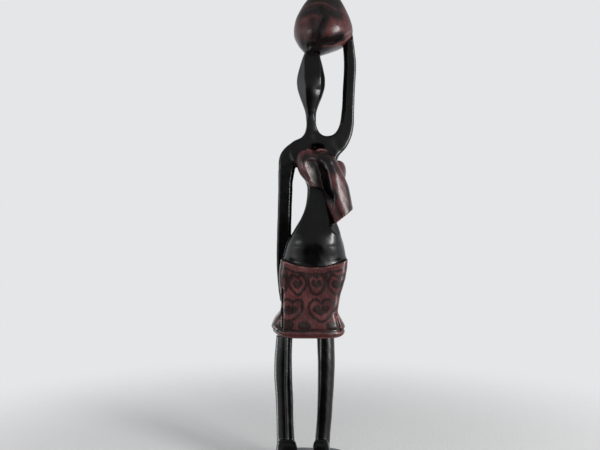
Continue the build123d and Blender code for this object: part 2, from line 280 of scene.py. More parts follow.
# the dark pit between the neck and the shawl
PIT_AT = (7.2, -6.8, 268.4)
PIT_RADII = (5.0, 5.0, 2.8)

# the head before its planes are cut, deeper at the front
HEAD_BLOCK = [(z, x, half, y - 1.6, deep + 2.0) for z, x, half, y, deep in HEAD]


# ---- carving fields ----------------------------------------------------------------------------
def dense(stations, steps=16):
    """The stations joined by Catmull-Rom curves."""
    rows = np.array(stations, float)
    ends = np.vstack([2 * rows[0] - rows[1], rows, 2 * rows[-1] - rows[-2]])
    t = np.linspace(0, 1, steps, endpoint=False)[:, None]
    out = []
    for a, b, c, d in zip(ends, ends[1:], ends[2:], ends[3:]):
        curve = 2 * b + (c - a) * t + (2 * a - 5 * b + 4 * c - d) * t**2
        out.append(0.5 * (curve + (3 * b - a - 3 * c + d) * t**3))
    out.append(rows[-1:])
    return np.vstack(out)


def outline(u, v, half_u, half_v, square):
    """Distance to a rounded section, measured out from its middle."""
    share = (np.abs(u / half_u) ** square + np.abs(v / half_v) ** square) ** (1 / square)
    out = np.hypot(u, v)
    reach = np.where(share > 1e-4, out / np.maximum(share, 1e-4), np.minimum(half_u, half_v))
    return out - reach


def column(x, y, z, stations, square):
    """A form that stands along z, open-ended: its sections carry on past its ends."""
    rows = dense(stations)
    rows = rows[np.argsort(rows[:, 0])]
    middle_x, half_x, middle_y, half_y = (np.interp(z, rows[:, 0], rows[:, k]) for k in (1, 2, 3, 4))
    return outline(x - middle_x, y - middle_y, half_x, half_y, square)


def limb(x, y, z, stations, square, round_ends=True):
    """A form that bends in the XZ plane, with rounded or flat ends."""
    rows = dense(stations, 10)
    heading = np.gradient(rows[:, :2], axis=0)
    pitch = np.linalg.norm(heading, axis=1)
    heading /= pitch[:, None]
    shape = np.broadcast(x, y, z).shape
    x, y, z = (np.broadcast_to(v, shape).ravel() for v in (x, y, z))
    nearest = np.zeros(x.size, int)
    best = np.full(x.size, 1e9)
    for k, (px, pz) in enumerate(rows[:, :2]):
        away = (x - px) ** 2 + (z - pz) ** 2
        closer = away < best
        best[closer] = away[closer]
        nearest[closer] = k
    dx, dz = x - rows[nearest, 0], z - rows[nearest, 1]
    along = dx * heading[nearest, 0] + dz * heading[nearest, 1]
    place = nearest + along / pitch[nearest]
    steps = np.arange(len(rows))
    px, pz, half, py, deep = (np.interp(place, steps, rows[:, k]) for k in range(5))
    hx, hz = (np.interp(place, steps, heading[:, k]) for k in range(2))
    across = (x - px) * -hz + (z - pz) * hx
    field = outline(across, y - py, half, deep, square)
    over = np.maximum(-place, place - (len(rows) - 1)) * pitch[nearest]
    if round_ends:
        field = np.where(over > 0, np.hypot(np.maximum(field + half * 0.5, 0), over) - half * 0.5, field)
    else:
        field = np.maximum(field, over)
    return field.reshape(shape)


def join(a, b, soft):
    """Two fields run together with a smooth valley of that width."""
    share = np.clip(0.5 + 0.5 * (b - a) / soft, 0, 1)
    return b * (1 - share) + a * share - soft * share * (1 - share)


def meet(a, b, soft):
    """Only what is inside both fields, with the edge rounded by soft."""
    return -join(-a, -b, soft)


def near_path(x, z, path):
    """Distance in XZ from a line through a few points."""
    points = np.array(path, float)
    best = np.full(np.broadcast(x, z).shape, 1e9)
    for (ax, az), (bx, bz) in zip(points, points[1:]):
        run = np.array([bx - ax, bz - az])
        share = np.clip(((x - ax) * run[0] + (z - az) * run[1]) / (run @ run), 0, 1)
        best = np.minimum(best, np.hypot(x - ax - share * run[0], z - az - share * run[1]))
    return best


def groove(x, z, path, width):
    """1 along a line in XZ, falling to 0 at about twice its width."""
    return np.exp(-((near_path(x, z, path) / width) ** 2))


def hand_tooled(x, y, z, size):
    """The slight unevenness that knives and sandpaper leave."""
    wave = np.sin(0.31 * x + 0.17 * z + 1.1) * np.sin(0.23 * y - 0.13 * z + 0.4)
    ripple = np.sin(0.71 * z + 0.3 * x) * np.sin(0.47 * x + 0.61 * y + 2.0)
    return size * (wave + 0.45 * ripple)


def waist(x, z):
    """Above the sagging waistline is inside."""
    return np.hypot(x - WAIST_X, z - WAIST_Z - WAIST_RADIUS) - WAIST_RADIUS


def gourd_form(x, y, z):
    """The load without its grooves."""
    return np.maximum(column(x, y, z, GOURD, 2.1), GOURD[0][0] - z)


def bevel(x, y, turn):
    """A flat cut that leans back from the front by that many degrees, towards +X."""
    return x * math.sin(math.radians(turn)) - y * math.cos(math.radians(turn))


def right_arm_form(x, y, z):
    """The hanging arm: a squared limb with a bevel down its inner edge."""
    arm = limb(x, y, z, RIGHT_ARM, 6.0)
    heights = [150.0, 180.0, 214.0, 240.0, 256.0, 262.0]
    edge = np.interp(z, heights, [-18.0, -15.4, -15.6, -14.8, -12.0, 0.0])
    front = np.interp(z, [150.0, 172.0, 192.0, 214.0, 236.0, 249.0], [5.6, 3.6, 1.4, -1.0, -3.4, -4.8])
    arm = meet(arm, bevel(x - edge, y - front, 50.0), 0.2)
    return meet(arm, bevel(x - edge - 3.0, y - front, 104.0), 0.3)


def left_arm_form(x, y, z):
    """The raised arm, with a bevel up the edge that faces the head."""
    arm = limb(x, y, z, LEFT_ARM, 6.0)
    heights = [280.0, 288.0, 300.0, 318.0, 334.0, 346.0]
    edge = np.interp(z, heights, [10.0, 29.0, 31.0, 31.8, 32.6, 32.0])
    arm = meet(arm, bevel(edge - x, y + 5.3, 50.0), 0.15)
    arm = meet(arm, bevel(edge - 3.7 - x, y + 1.0, 106.0), 0.2)
    past_palm = 0.74 * (z - 351.9) - 0.67 * (x - 27.7)
    return meet(arm, 0.77 * past_palm - 0.64 * (y + 3.0), 0.3)


def head_form(x, y, z):
    """A long oval head with a flat brow, a rounded face below it and a flat cut down each side."""
    rows = dense(FACE)[::-1]
    left, right, front = (np.interp(z, rows[:, 0], rows[:, k]) for k in (1, 2, 3))
    swell = np.interp(z, [314.0, 327.0], [0.027, 0.005])
    brow = front + swell * (x - np.interp(z, [314.0, 327.0], [0.7, 3.4])) ** 2 - y
    head = meet(column(x, y, z, HEAD_BLOCK, 2.6), brow, 0.5)
    head = meet(head, bevel(left - x, y - front - 0.6, 58.0), 0.4)
    return meet(head, bevel(x - right - 0.2, y - front - 1.8, 56.0), 0.3)


def pit(x, y, z):
    """Below zero inside the pit: 0 on its wall and -1 in its middle."""
    parts = [((v - at) / radius) ** 2 for v, at, radius in zip((x, y, z), PIT_AT, PIT_RADII)]
    return np.sqrt(sum(parts)) - 1


def body_field(x, y, z):
    """Trunk, head and both arms in one flowing surface, flat on the chest, with the pit cut in."""
    # round at the belly, squared like the log above it, with a flat down her left side
    squareness = np.interp(z, [174.0, 188.0, 196.0, 202.0, 206.0], [2.0, 2.3, 3.0, 4.5, 6.5])
    trunk = column(x, y, z, TRUNK, squareness)
    flank = np.interp(z, [188.0, 195.0, 205.0, 221.0, 240.0], [31.0, 24.4, 17.2, 14.9, 20.0])
    trunk = meet(trunk, bevel(x - flank, y - np.interp(z, [195.0, 221.0], [-15.5, -8.6]), 55.0), 1.0)
    trunk = meet(trunk, z - TRUNK[0][0], 3.0)
    # a low rim swells out just above the waistline, but not in the middle
    beside = np.clip(np.abs(x - WAIST_X) / 14.0, 0, 1)
    rim = 0.5 * beside * np.exp(-((waist(x, z) / 1.2) ** 2))
    trunk = np.maximum(trunk - rim, waist(x, z))
    head = meet(head_form(x, y, z), HEAD[-1][0] - z, 3.0)
    figure = join(trunk, head, 5.0)
    arm_root = np.interp(z, [238.0, 262.0], [0.3, 6.0])
    figure = join(figure, right_arm_form(x, y, z), arm_root)
    figure = join(figure, left_arm_form(x, y, z), np.interp(z, [284.0, 296.0], [6.0, 0.5]))
    # the chest is cut flat
    heights = [224.0, 240.0, 252.0, 276.0, 286.0, 296.0]
    chest_y = np.interp(z, heights, [-30.0, -8.6, -6.9, -6.9, -8.0, -30.0])
    figure = meet(figure, chest_y - y, 0.8)
    figure = meet(figure, -3.4 * pit(x, y, z), 0.5)
    figure = figure + hand_tooled(x, y, z, 0.07)
    return np.maximum(figure, -gourd_form(x, y, z) - 0.02)


def skirt_field(x, y, z):
    """The wrapped cloth, with the edges of its front panel and the line above its hem cut in."""
    cloth = column(x, y, z, SKIRT, np.interp(z, [122.0, 142.0], [3.6, 9.0]))
    front = np.clip(-y / 8.0, 0, 1)
    cloth = cloth + 1.4 * front * groove(x, z, PANEL_EDGE, 0.8)
    cloth = cloth + 1.5 * front * groove(x, z, [(22.0, 133.0), (25.2, 120.6)], 1.1)
    cloth = cloth + 1.0 * np.exp(-(((z - 120.9) / 1.3) ** 2))
    cloth = cloth + hand_tooled(x, y, z, 0.15)
    cloth = meet(cloth, HEM_Z - z, 1.0)
    cloth = meet(cloth, 0.1 - waist(x, z), 1.0)
    return np.maximum(cloth, 0.05 - right_arm_form(x, y, z))


def leg_field(shank, foot, ridge, outside, crest):
    """A leg that is round outside and flat inside, with a raised bead down its shin, on a blunt foot.

    Outside is 1 or -1, the way out along X, and crest is how far out the front is fullest.
    """

    def field(x, y, z):
        rows = dense(shank)[::-1]
        middle, half, middle_y, deep = (np.interp(z, rows[:, 0], rows[:, k]) for k in (1, 2, 3, 4))
        out = (x - middle) * outside - crest
        reach = np.where(out > 0, half - crest, half + crest)
        leg = outline(out, y - middle_y, reach, deep, np.where(out > 0, 2.2, 6.0))
        shin = np.interp(z, ridge[0], ridge[1])
        front = np.clip((0.5 - y) / 4.0, 0, 1)
        leg = leg - 0.7 * front * np.exp(-(((x - shin) / 0.8) ** 2))
        sole = column(x, z - PLINTH_TOP, -y, foot, 4.0)
        sole = meet(sole, -y - foot[-1][0], 5.0)
        sole = meet(sole, foot[0][0] + y, 4.0)
        leg = join(leg, sole, 0.3) + hand_tooled(x, y, z, 0.06)
        leg = np.maximum(leg, z - HEM_Z)
        return np.maximum(leg, PLINTH_TOP - z)

    return field


def shawl_field(x, y, z):
    """Two folds with a scoop between them, the strap above, and the band that passes round the back."""
    (ax, az), (bx, bz) = FOLD_CUT
    run = math.hypot(bx - ax, bz - az)
    past_cut = ((z - az) * (bx - ax) - (x - ax) * (bz - az)) / run
    long_fold = meet(limb(x, y, z, LONG_FOLD, 2.1, False), past_cut, 1.0)
    off_x, off_y, off_z = x - WORN_AT[0], y - WORN_AT[1], z - WORN_AT[2]
    sunk = (0.95 * off_x + 0.3 * off_z) ** 2 / (2 * WORN_RADIUS)
    worn_flat = WORN_FACING[0] * off_x + WORN_FACING[1] * (off_y - sunk) + WORN_FACING[2] * off_z
    long_fold = meet(long_fold, worn_flat, 0.5)
    short_fold = join(limb(x, y, z, SHORT_FOLD, 2.3), limb(x, y, z, SHOULDER_FOLD, 2.2), 3.0)
    short_fold = join(short_fold, limb(x, y, z, WEB, 2.6), 2.0)
    folds = join(long_fold, short_fold, 3.0)
    folds = join(folds, limb(x, y, z, STRAP, 3.0), 0.6)
    # the scoop rises steeply to the long fold, and the hollow is a narrow cut along its bottom
    aside, scoop, hollow = (np.interp(z, SCOOP_Z, row) for row in (SCOOP_X, SCOOP_Y, HOLLOW_Y))
    aside = x - aside
    scoop = scoop - np.where(aside < 0, 0.0075 * aside**2 - 0.00045 * aside**3, 1.3 * aside)
    folds = meet(folds, scoop - y, 0.8)
    folds = meet(folds, hollow - 3.3 * np.abs(aside) - y, 3.2)
    wrap = column(x, y, z, WRAP, 2.4)
    wrap = meet(wrap, z - WRAP[0][0], 3.0)
    wrap = meet(wrap, WRAP[-1][0] - z, 3.0)
    cloth = join(folds, wrap, 1.0) + hand_tooled(x, y, z, 0.12)
    return np.maximum(cloth, 0.05 - body_field(x, y, z))


def gourd_field(x, y, z):
    """The load with the grooves of its front and the line round its base."""
    load = gourd_form(x, y, z)
    front = np.clip(-y / 6.0, 0, 1)
    load = load + 1.5 * front * groove(x, z, [(12.6, 369.0), (9.6, 360.0), (7.6, 346.0)], 4.0)
    load = load + 0.5 * front * groove(x, z, [(-3.4, 366.0), (-4.2, 358.0), (-2.4, 346.0)], 2.2)
    load = load + 0.8 * groove(x, z, [(12.0, 349.4), (20.0, 350.4), (27.6, 353.6), (34.0, 359.0)], 0.9)
    load = meet(load, z - GOURD_TOP + 0.4, 1.2)
    return load + hand_tooled(x, y, z, 0.08)


def plinth_field(x, y, z):
    """A slab with rounded corners and a rounded top rim."""
    corner = 16.0
    over_x = np.maximum(np.abs(x) - PLINTH_HALF_X + corner, 0)
    over_y = np.maximum(np.abs(y) - PLINTH_HALF_Y + corner, 0)
    slab = np.hypot(over_x, over_y) - corner
    slab = meet(slab, z - PLINTH_TOP, 3.0) + hand_tooled(x, y, z, 0.1)
    slab = np.maximum(slab, z - PLINTH_TOP)
    return np.maximum(slab, -z)


# ---- from a field to a mesh -----------------------------------------------------------------------
def crossings(values):
    """The surface net of a grid: cell middles on the surface, and the quads that join them."""
    cells = tuple(n - 1 for n in values.shape)
    count = np.zeros(cells)
    total = np.zeros(cells + (3,))
    edges = []
    for axis in range(3):
        others = [k for k in range(3) if k != axis]
        low = [slice(None)] * 3
        high = [slice(None)] * 3
        low[axis] = slice(None, -1)
        high[axis] = slice(1, None)
        a, b = values[tuple(low)], values[tuple(high)]
        cut = (a < 0) != (b < 0)
        place = np.where(cut, a / np.where(cut, a - b, 1), 0)
        for i in (0, 1):
            for j in (0, 1):
                part = [slice(None)] * 3
                part[others[0]] = slice(i, values.shape[others[0]] - 1 + i)
                part[others[1]] = slice(j, values.shape[others[1]] - 1 + j)
                here = cut[tuple(part)]
                count += here
                total[..., axis] += place[tuple(part)]
                total[..., others[0]] += here * i
                total[..., others[1]] += here * j
        edges.append((axis, others, cut, a < 0))
    used = count > 0
    ids = np.full(cells, -1)
    ids[used] = np.arange(used.sum())
    corners = np.argwhere(used) + total[used] / count[used][:, None]
    quads = []
    for axis, others, cut, inside in edges:
        spots = np.argwhere(cut)
        keep = (spots[:, others[0]] > 0) & (spots[:, others[1]] > 0)
        keep &= (spots[:, others[0]] < cells[others[0]]) & (spots[:, others[1]] < cells[others[1]])
        spots = spots[keep]
        ring = []
        for i, j in ((0, 0), (1, 0), (1, 1), (0, 1)):
            cell = spots.copy()
            cell[:, others[0]] -= 1 - i
            cell[:, others[1]] -= 1 - j
            ring.append(ids[tuple(cell.T)])
        ring = np.stack(ring, 1)
        turn = inside[tuple(spots.T)] != (axis == 1)
        ring[~turn] = ring[~turn][:, ::-1]
        quads.append(ring)
    return corners, np.vstack(quads)


def paint(piece, layer, values):
    """Stores a number at every point, for a material to read."""
    piece.data.attributes.new(layer, "FLOAT", "POINT").data.foreach_set("value", values.astype(np.float32))


def carve(name, field, node):
    """Carves a piece out of the grid round its CAD node, and draws its points onto the surface."""
    low, high = millimetres(node)
    margin = 2.5
    low, high = low - margin, high + margin
    axes = [np.arange(a, b + CELL, CELL) for a, b in zip(low, high)]
    x, y, z = np.meshgrid(*axes, indexing="ij", sparse=True)
    points, quads = crossings(np.broadcast_to(field(x, y, z), [len(a) for a in axes]))
    points = low + points * CELL
    step = 0.25 * CELL
    for _ in range(3):
        value = field(*points.T)
        slope = []
        for shift in np.eye(3) * step:
            slope.append((field(*(points + shift).T) - field(*(points - shift).T)) / (2 * step))
        slope = np.stack(slope, 1)
        size = np.maximum((slope**2).sum(1), 0.25)
        move = -(value / size)[:, None] * slope
        points += np.clip(move, -CELL, CELL)
    reach = 0.9  # how far out the field is compared, to find the edges that get rubbed
    around = -6 * field(*points.T)
    for shift in np.vstack([np.eye(3), -np.eye(3)]) * reach:
        around = around + field(*(points + shift).T)
    mesh = bpy.data.meshes.new(name)
    mesh.from_pydata((points * MM).tolist(), [], quads.tolist())
    mesh.update()
    mesh.validate()
    mesh.polygons.foreach_set("use_smooth", [True] * len(mesh.polygons))
    piece = bpy.data.objects.new(name, mesh)
    bpy.context.scene.collection.objects.link(piece)
    paint(piece, "wear", around / reach**2)
    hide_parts(node)
    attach(piece, "root")
    return piece, points


# ---- ink: how far each point is from a drawn line, in millimetres, negative in the ink; some are painted shade ---
NO_INK = 9.0


def heart(s, z, left, right, top, tip, notch=0.84):
    """Distance to a full, blunt heart's edge, negative inside."""
    half, tall = 0.5 * (right - left), top - tip
    out = np.abs(s - 0.5 * (left + right)) / half
    up = (z - tip) / tall
    over = [(0.0, notch), (0.14, 0.93), (0.36, 1.0), (0.64, 0.98), (0.88, 0.86), (1.0, 0.64)]
    under = [(0.0, 0.0), (0.3, 0.07), (0.62, 0.2), (0.86, 0.38), (0.97, 0.52), (1.0, 0.64)]
    edge = np.array(over + under[-2::-1]) * (half, tall)
    above, below = (np.interp(out, *zip(*side)) for side in (over, under))
    inside = (out < 1) & (up < above) & (up > below)
    return near_path(out * half, up * tall, edge) * np.where(inside, -1, 1)


def stroke(s, z, path, width):
    """Distance to the edge of a line that is drawn with that width."""
    return near_path(s, z, path) - 0.5 * width


def along_skirt(x, y):
    """Distance round the cloth, counted towards +X, which in the middle of the front is the same as x."""
    middle_x, half_x, half_y = 2.0, 25.0, 17.5
    turn = np.arctan2(x - middle_x, -y)
    around = np.linspace(-math.pi, math.pi, 721)
    radius = 1 / (np.abs(np.sin(around) / half_x) ** 3 + np.abs(np.cos(around) / half_y) ** 3) ** (1 / 3)
    ring = np.stack([radius * np.sin(around), radius * np.cos(around)], 1)
    length = np.concatenate([[0], np.cumsum(np.linalg.norm(np.diff(ring, axis=0), axis=1))])
    return np.interp(turn, around, length - length[len(around) // 2]) + middle_x


def skirt_ink_and_shade_line(points):
    """Two rows of hearts with a solid heart in each, a row of small ones, the waist line, its ties
    and a black line of painted shade down the front panel's edge."""
    x, y, z = points.T
    s = along_skirt(x, y)
    # an unsteady hand
    s = s + 0.35 * np.sin(0.55 * z + 0.2 * s)
    z = z + 0.3 * np.sin(0.6 * s + 1.0)
    half_line = 1.1
    ink = np.full(len(x), NO_INK)
    # first row: outline and solid heart
    row = [(-14.4, -1.9), (-0.2, 13.4), (15.0, 27.6)]
    row += [(28.6 + 14.6 * k, 41.6 + 14.6 * k) for k in range(3)]
    row += [(-27.8 - 14.6 * k, -14.8 - 14.6 * k) for k in range(4)]
    for left, right in row:
        ink = np.minimum(ink, np.abs(heart(s, z, left, right, 165.4, 149.2)) - half_line)
        ink = np.minimum(ink, heart(s, z, left + 2.4, right - 2.4, 161.4, 154.4, 0.6))
    # second row, larger, the first of them leaning on the edge of the front
    row = [(-20.6, -3.8, -3.4), (0.2, 20.6, 0.0)]
    row += [(24.6 + 22.0 * k, 43.0 + 22.0 * k, 0.0) for k in range(2)]
    row += [(-43.2 - 22.0 * k, -24.8 - 22.0 * k, 0.0) for k in range(2)]
    for left, right, lean in row:
        leaning = s - lean * np.clip((144.0 - z) / 16.0, 0, 1.2)
        ink = np.minimum(ink, np.abs(heart(leaning, z, left, right, 145.6, 128.0)) - half_line)
        ink = np.minimum(ink, heart(leaning, z, left + 3.6, right - 4.0, 141.0, 133.0, 0.6))
    # small solid hearts along the hem
    for k in range(-5, 6):
        middle = -3.3 + 13.2 * k + (9.6 if k > 0 else 0.0)
        ink = np.minimum(ink, heart(s, z, middle - 5.4, middle + 5.4, 128.4, 119.4))
    # painted shade: a black line down the groove at the front panel's edge
    panel_edge = stroke(x, z, [(-20.4, 154.0), (-20.6, 121.0)], 1.5)
    ink = np.minimum(ink, np.where(y < -8.0, panel_edge, NO_INK))
    # the waist line follows the waist, and ties drop from it between the hearts
    under_waist = waist(x, z)
    ink = np.minimum(ink, np.abs(under_waist - 5.6) - 0.9)
    ink = np.minimum(ink, under_waist - 0.9)
    for tie in (-15.0, -0.8, 13.8, 29.4):
        ink = np.minimum(ink, np.maximum(stroke(s, z, [(tie, 168.0), (tie, 156.0)], 1.2), z - 168.0))
    return ink


def gourd_ink_and_shade_lines(points):
    """In front arcs, strokes, a spot, and black lines of painted shade down the crease and under the base;
    behind, an arc over three hearts.
    """
    x, y, z = points.T
    x = x + 0.4 * np.sin(0.5 * z)
    lines = [
        (2.6, [(-1.0, 383.0), (6.0, 384.6), (14.0, 383.4), (22.0, 378.6), (26.6, 372.6)]),
        (2.4, [(2.0, 378.6), (10.0, 379.6), (17.0, 377.4), (22.6, 373.0)]),
        (1.7, [(-6.4, 375.0), (3.0, 380.0)]),
        (1.7, [(-7.4, 371.6), (1.0, 376.4)]),
        # painted shade: black lines under the base and down the crease
        (2.0, [(7.0, 349.8), (18.0, 351.6), (27.0, 356.0)]),
        (3.4, [(12.0, 369.0), (8.6, 360.0), (5.0, 352.0)]),
    ]
    ink = np.hypot(x - 24.6, z - 371.0) - 1.8
    for width, path in lines:
        ink = np.minimum(ink, stroke(x, z, path, width))
    behind = stroke(x, z, [(-8.0, 372.0), (2.0, 381.0), (16.0, 383.0), (28.0, 374.0)], 2.2)
    for left in (-6.0, 8.0, 20.0):
        behind = np.minimum(behind, np.abs(heart(x, z, left, left + 10.0, 369.0, 358.0)) - 0.7)
    return np.minimum(np.where(y < 0, ink, behind), NO_INK)


def shawl_ink(points):
    """Bars across the border of the long fold and a fan of strokes on its cut end."""
    x, _, z = points.T
    bars = np.full(len(x), NO_INK)
    for k in range(9):
        px, pz = 27.0 + 0.85 * k, 246.0 - 3.9 * k
        bars = np.minimum(bars, stroke(x, z, [(px - 0.2, pz + 0.6), (px + 6.0, pz - 2.2)], 1.5))
    border = near_path(x, z, [(24.6, 252.6), (29.9, 237.0), (32.6, 222.0), (32.0, 215.4)])
    outer = (x - 19.6) * 0.93 + (z - 260.0) * 0.36 - 1.2
    ink = np.where((border < 3.4) & (outer > 0), bars, NO_INK)
    for k in range(6):
        foot_x, foot_z = 25.2 + 1.9 * k, 207.0 + 1.7 * k
        ink = np.minimum(ink, stroke(x, z, [(foot_x, foot_z), (foot_x - 0.8, foot_z + 6.4)], 1.0))
    return ink


# ---- shade: how far the wood is blackened by stain or darkened by painted shade -------------------------
# above the first of these its reflection is dimmed, and from the second on it is nearly gone, so that
# painted shade shows black
SHADE_DIMS_POLISH, SHADE_ENDS_POLISH = 0.95, 1.4


def blackened(x, z, marks):
    """The darkest of several soft marks, each given by its strength, its width and its line in XZ."""
    return np.max([strength * groove(x, z, path, width) for strength, width, path in marks], axis=0)


def gourd_stain_and_painted_shade(points):
    """Blackened stain on the middle of the front and the crown, and painted shade down the crease and
    under the base.
    """
    x, y, z = points.T
    marks = [
        # painted shade down the crease
        (1.2, 5.0, [(10.0, 378.0), (12.4, 369.0), (8.6, 360.0), (6.8, 350.0)]),
        (1.6, 2.6, [(12.0, 367.0), (8.0, 359.0), (6.6, 350.0), (0.0, 349.4)]),
        # blackened stain round the crown and in a band below it
        (1.0, 7.0, [(2.0, 388.0), (12.0, 386.0), (22.0, 382.0)]),
        (0.9, 4.4, [(-4.0, 374.0), (4.0, 375.0), (14.0, 374.0), (24.0, 370.6)]),
        # painted shade along the underside and where the base meets the head
        (1.6, 2.6, [(8.0, 350.6), (18.0, 351.8), (27.0, 355.4)]),
        (0.9, 3.0, [(-6.0, 352.0), (0.0, 348.0), (6.0, 347.0)]),
    ]
    dark = blackened(x, z, marks)
    dark = np.maximum(dark, 0.8 * np.exp(-(((x - 3.6) / 4.4) ** 2)) * np.clip((372 - z) / 4, 0, 1))
    dark = np.maximum(dark, 0.9 * np.clip((z - 386) / 12, 0, 1))
    # painted shade on the underside
    dark = np.maximum(dark, 0.9 * np.clip((350.0 - z) / 3, 0, 1))
    # the red left bare in it: a small heart, the two strokes above it and the arc
    bare = np.clip(-heart(x, z, -6.0, 0.0, 370.6, 364.6) / 0.8 + 0.5, 0, 1)
    bare = np.maximum(bare, groove(x, z, [(-5.4, 372.8), (1.6, 377.8)], 0.8))
    arc = groove(x, z, [(2.0, 382.4), (12.0, 382.0), (20.0, 378.2), (26.0, 373.6)], 0.9)
    dark = dark * (1 - 0.85 * np.maximum(bare, 0.8 * arc))
    behind = 0.7 * groove(x, z, [(0.0, 356.0), (12.0, 352.0), (24.0, 357.0)], 4.0)
    return np.where(y < 2, dark, np.maximum(behind, np.clip((z - 382) / 14, 0, 0.9)))


def pit_painted_shade(points):
    """Painted shade in the pit: its reflection is taken away so that it shows black."""
    return 1.6 * np.clip(1.25 - pit(*points.T) / 0.55, 0, 1)


def shawl_stain_and_painted_shade(points):
    """Blackened stain on the scoop's head, the top between the folds, the strap and the border, and
    painted shade under the strap, down the long fold's inner edge and, blackest, in the hollow.
    """
    x, y, z = points.T
    marks = [
        # blackened stain at the scoop's head, down its slope and on the top between the folds
        (0.95, 3.4, [(-4.0, 256.6), (-1.0, 259.6), (6.0, 258.6)]),
        (0.9, 4.6, [(2.0, 255.0), (6.0, 250.0), (9.0, 243.0)]),
        (0.6, 4.0, [(0.0, 247.0), (3.0, 241.0), (9.0, 237.0)]),
        (1.1, 5.4, [(9.0, 259.0), (16.0, 256.0), (19.0, 249.0)]),
        # painted shade under the strap
        (1.0, 1.2, [(4.0, 262.4), (10.0, 262.0), (19.0, 260.6)]),
        # blackened stain on the strap, beside it and along the border
        (0.5, 4.0, [(4.0, 264.0), (19.0, 262.0)]),
        (0.9, 2.0, [(16.0, 264.0), (21.0, 260.0)]),
        (0.9, 1.3, [(30.4, 236.0), (32.8, 226.0), (33.2, 217.0)]),
        # painted shade down the long fold's inner edge and, blackest, in the hollow
        (0.8, 2.2, [(19.0, 228.0), (22.0, 220.0), (24.4, 213.0)]),
        (1.8, 6.0, [(9.6, 252.0), (10.6, 240.0), (13.0, 233.0), (17.0, 228.6)]),
    ]
    return np.where(y < 2, blackened(x, z, marks), 0.4)


def skirt_stain_and_painted_shade(points):
    """A dark band round the hem, darker towards the hem, and painted shade in the groove down the edge of
    the front panel.
    """
    x, y, z = points.T
    band = 0.85 * np.exp(-(((z - 120.7 - 0.5 * np.sin(0.3 * x)) / 1.5) ** 2))
    # painted shade in the groove at the front panel's edge
    band = np.maximum(band, np.where(y < -8, 1.6 * groove(x, z, PANEL_EDGE, 0.8), 0.0))
    return np.maximum(band, 0.35 * np.clip((134 - z) / 14, 0, 1))


# ---- materials ------------------------------------------------------------------------------------
def graph(name):
    """A new material with one shader, and what is needed to add to it."""
    material = bpy.data.materials.new(name)
    material.use_nodes = True
    nodes = material.node_tree.nodes
    nodes.clear()
    shader = nodes.new("ShaderNodeBsdfPrincipled")
    output = nodes.new("ShaderNodeOutputMaterial")
    material.node_tree.links.new(shader.outputs[0], output.inputs[0])
    return material, nodes, material.node_tree.links, shader


def noise(nodes, links, scale, detail=3.0, stretch=(1, 1, 1)):
    """Noise in object space, stretched along the wood's grain where asked."""
    where = nodes.new("ShaderNodeTexCoord")
    mapping = nodes.new("ShaderNodeMapping")
    mapping.inputs["Scale"].default_value = stretch
    texture = nodes.new("ShaderNodeTexNoise")
    texture.inputs["Scale"].default_value = scale
    texture.inputs["Detail"].default_value = detail
    links.new(where.outputs["Object"], mapping.inputs["Vector"])
    links.new(mapping.outputs[0], texture.inputs["Vector"])
    return texture.outputs["Fac"]


def ramp(nodes, links, source, stops):
    """A value turned into a colour or grey through a few stops."""
    node = nodes.new("ShaderNodeValToRGB")
    links.new(source, node.inputs[0])
    steps = node.color_ramp.elements
    while len(steps) < len(stops):
        steps.new(0.5)
    for step, (place, colour) in zip(steps, stops):
        step.position = place
        step.color = (*colour, 1) if len(colour) == 3 else (colour[0],) * 3 + (1,)
    return node.outputs[0]


def mix(nodes, links, share, a, b):
    """Colour a turned into colour b by a share: each of the three is a constant or a socket."""
    node = nodes.new("ShaderNodeMix")
    node.data_type = "RGBA"
    for socket, value in ((node.inputs[0], share), (node.inputs[6], a), (node.inputs[7], b)):
        if isinstance(value, tuple):
            socket.default_value = (*value, 1)
        elif isinstance(value, float):
            socket.default_value = value
        else:
            links.new(value, socket)
    return node.outputs[2]


def bump(nodes, links, layers, shader):
    """Height layers, (source, millimetres), stacked into the shader's normal."""
    last = None
    for source, height in layers:
        node = nodes.new("ShaderNodeBump")
        node.inputs["Distance"].default_value = height * MM
        node.inputs["Strength"].default_value = 1.0
        links.new(source, node.inputs["Height"])
        if last is not None:
            links.new(last, node.inputs["Normal"])
        last = node.outputs[0]
    links.new(last, shader.inputs["Normal"])


GRAIN = (1.0, 1.0, 0.06)  # wood grain runs up the billet
PALE_LIGHT = (0.95, 0.97, 1.0, 1)  # the studio's colour


def stored(nodes, layer):
    """A number that carve or paint stored at each point."""
    node = nodes.new("ShaderNodeAttribute")
    node.attribute_name = layer
    return node.outputs["Fac"]


def rescale(nodes, links, source, low, high, to_low=0.0, to_high=1.0):
    """A value carried from one range to another, and held at the range's ends."""
    node = nodes.new("ShaderNodeMapRange")
    node.inputs["From Min"].default_value = low
    node.inputs["From Max"].default_value = high
    node.inputs["To Min"].default_value = to_low
    node.inputs["To Max"].default_value = to_high
    links.new(source, node.inputs["Value"])
    return node.outputs[0]


def combine(nodes, links, how, *parts):
    """Arithmetic on sockets and constants."""
    node = nodes.new("ShaderNodeMath")
    node.operation = how
    for socket, part in zip(node.inputs, parts):
        if isinstance(part, float):
            socket.default_value = part
        else:
            links.new(part, socket)
    return node.outputs[0]


def polish_cut_for_painted_shade(nodes, links):
    """The polish, taken away where the shade is high: painted shade, so that hollows, creases and the
    blackest stain show black.
    """
    return rescale(nodes, links, stored(nodes, "shade"), SHADE_DIMS_POLISH, SHADE_ENDS_POLISH, 0.5, 0.04)


